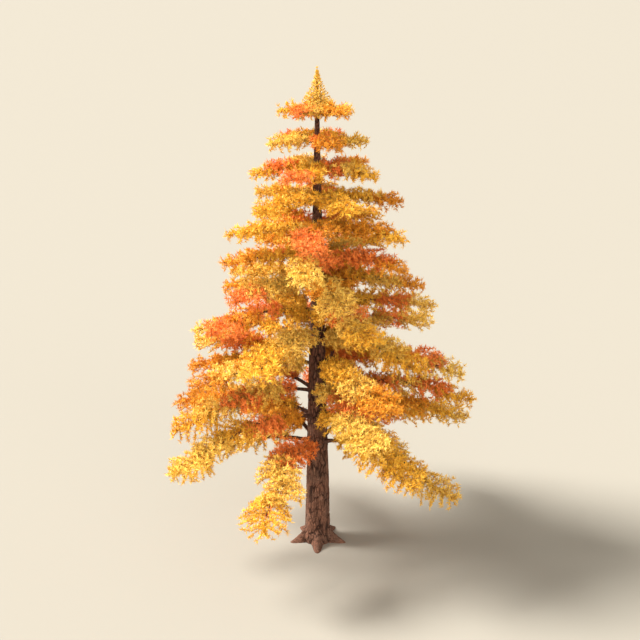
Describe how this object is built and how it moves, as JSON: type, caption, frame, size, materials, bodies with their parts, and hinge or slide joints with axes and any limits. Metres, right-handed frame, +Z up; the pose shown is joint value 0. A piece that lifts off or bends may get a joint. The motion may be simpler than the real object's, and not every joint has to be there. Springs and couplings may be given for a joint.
{
  "type": "larch tree in autumn colour",
  "caption": "Free-standing conical larch: a straight tapered trunk on buttress roots, with tiers of level boughs that carry flat sprays of golden and orange autumn needles.",
  "frame": {"origin": "middle of the flat cut under the trunk, at ground level", "axes": "+Z up along the trunk, -Y towards the side the tree is seen from, +X to that viewer's right"},
  "size_m": [7.6006, 8.3254, 12],
  "materials": {
    "trunk_bark": "rough, fissured, reddish brown bark",
    "bough_bark": "darker, finely scaled bark of boughs and twigs",
    "needles_lemon": "matt, lemon yellow needles",
    "needles_gold": "matt, golden needles",
    "needles_amber": "matt, amber needles",
    "needles_orange": "matt, burnt orange needles"
  },
  "bodies": {
    "root": {"trunk": "trunk_bark", "bough_1_1": "bough_bark", "bough_1_2": "bough_bark", "bough_1_3": "bough_bark", "bough_1_4": "bough_bark", "bough_1_5": "bough_bark", "bough_2_1": "bough_bark", "bough_2_2": "bough_bark", "bough_2_3": "bough_bark", "bough_2_4": "bough_bark", "bough_2_5": "bough_bark", "bough_3_1": "bough_bark", "bough_3_2": "bough_bark", "bough_3_3": "bough_bark", "bough_3_4": "bough_bark", "bough_3_5": "bough_bark", "needles_1_1": "needles_amber", "needles_1_2": "needles_lemon", "needles_1_3": "needles_orange", "needles_1_4": "needles_amber", "needles_1_5": "needles_gold", "needles_2_1": "needles_orange", "needles_2_2": "needles_orange", "needles_2_3": "needles_gold", "needles_2_4": "needles_amber", "needles_2_5": "needles_lemon", "needles_3_1": "needles_lemon", "needles_3_2": "needles_amber", "needles_3_3": "needles_amber", "needles_3_4": "needles_gold", "needles_3_5": "needles_orange", "needles_4_1": "needles_gold", "needles_4_2": "needles_lemon", "needles_4_3": "needles_amber", "needles_5_1": "needles_gold", "needles_5_2": "needles_gold", "needles_5_3": "needles_amber", "needles_6_1": "needles_gold", "needles_6_2": "needles_lemon", "needles_6_3": "needles_orange", "needles_7_1": "needles_lemon", "needles_7_2": "needles_gold", "needles_7_3": "needles_gold", "needles_8_1": "needles_gold", "needles_8_2": "needles_gold", "needles_8_3": "needles_amber", "needles_9_1": "needles_gold", "needles_9_2": "needles_gold", "needles_9_3": "needles_amber", "needles_10_1": "needles_orange", "needles_10_2": "needles_lemon", "needles_10_3": "needles_orange", "needles_11_1": "needles_lemon", "needles_11_2": "needles_orange", "needles_11_3": "needles_orange", "needles_12_1": "needles_amber", "needles_12_2": "needles_gold", "needles_13_1": "needles_orange", "needles_13_2": "needles_amber", "leader": "needles_lemon"}
  },
  "joints": []
}
